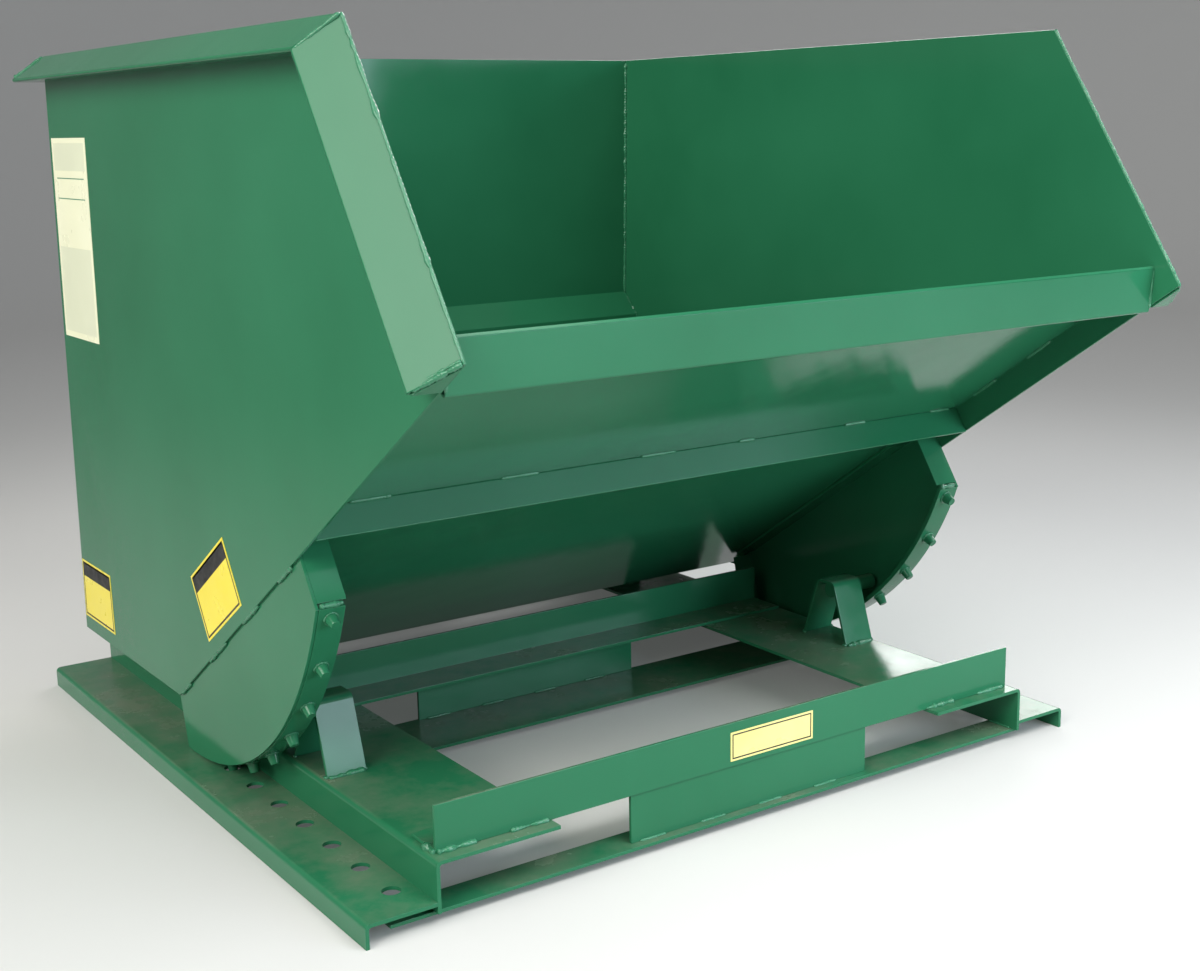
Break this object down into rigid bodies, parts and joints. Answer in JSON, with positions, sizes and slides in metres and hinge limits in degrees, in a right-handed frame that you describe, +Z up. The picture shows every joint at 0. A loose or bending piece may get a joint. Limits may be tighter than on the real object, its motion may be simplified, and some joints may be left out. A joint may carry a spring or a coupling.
{
  "type": "self-dumping hopper",
  "caption": "Steel self-dumping hopper: a V-front bin that rolls forward on studded rockers over a fork-pocket base, with a rear latch.",
  "frame": {"origin": "centre of the overall footprint, on the floor", "axes": "+Z up; -Y is the front, where the bin dumps; +Y is the rear, where the fork truck enters; +X is the object's side on the viewer's right when looking along +Y"},
  "size_m": [1.44, 1.65, 1.258],
  "materials": {
    "green_paint": "gloss",
    "latch_black": "satin",
    "zinc": "zinc plated",
    "grip_rubber": "matte",
    "label_yellow": "gloss",
    "label_cream": "gloss"
  },
  "bodies": {
    "base": {"base_rail_left": "green_paint", "base_rail_right": "green_paint", "front_cross_angle": "green_paint", "front_strap": "green_paint", "front_centre_plate": "green_paint", "mid_cross_angle": "green_paint", "mid_strap": "green_paint", "mid_centre_plate": "green_paint", "rear_cross_angle": "green_paint", "rear_strap": "green_paint", "rear_centre_plate": "green_paint", "saddle_left": "green_paint", "saddle_right": "green_paint", "hold_down_pin_left": "green_paint", "hold_down_pin_right": "green_paint", "rest_pads": "green_paint", "latch_bracket": "green_paint", "latch_pin": "zinc", "front_label": "label_yellow"},
    "carrier": {"pilot_plugs": "green_paint"},
    "bin": {"side_plate_left": "green_paint", "side_plate_right": "green_paint", "slope_sheet": "green_paint", "floor_sheet": "green_paint", "back_wall": "green_paint", "front_lip": "green_paint", "top_rim_left": "green_paint", "top_rim_right": "green_paint", "rear_rim": "green_paint", "mouth_rim_left": "green_paint", "mouth_rim_right": "green_paint", "mouth_cap_left": "green_paint", "mouth_cap_right": "green_paint", "slope_stiffener": "green_paint", "rocker_plate_left": "green_paint", "rocker_plate_right": "green_paint", "rocker_flanges_left": "green_paint", "rocker_flanges_right": "green_paint", "rocker_rim_left": "green_paint", "rocker_rim_right": "green_paint", "studs_left": "green_paint", "studs_right": "green_paint", "latch_keeper": "green_paint", "data_label": "label_cream", "side_labels": "label_yellow"},
    "latch": {"latch_hook": "latch_black", "release_lever": "latch_black", "lever_grip": "grip_rubber"}
  },
  "joints": [
    {"name": "roll_travel", "type": "slide", "parent": "base", "child": "carrier", "axis": [0, -1, 0], "range_m": [0, 0.6703]},
    {"name": "bin_roll", "type": "hinge", "parent": "carrier", "child": "bin", "pos_m": [0, 0.203, 0.638], "axis": [1, 0, 0], "range_deg": [0, 64]},
    {"name": "latch_swing", "type": "hinge", "parent": "base", "child": "latch", "pos_m": [0, 0.771, 0.178], "axis": [1, 0, 0], "range_deg": [0, 30]}
  ],
  "couplings": [
    {"joint": "roll_travel", "follows": "bin_roll", "m_per_rad": 0.6}
  ]
}
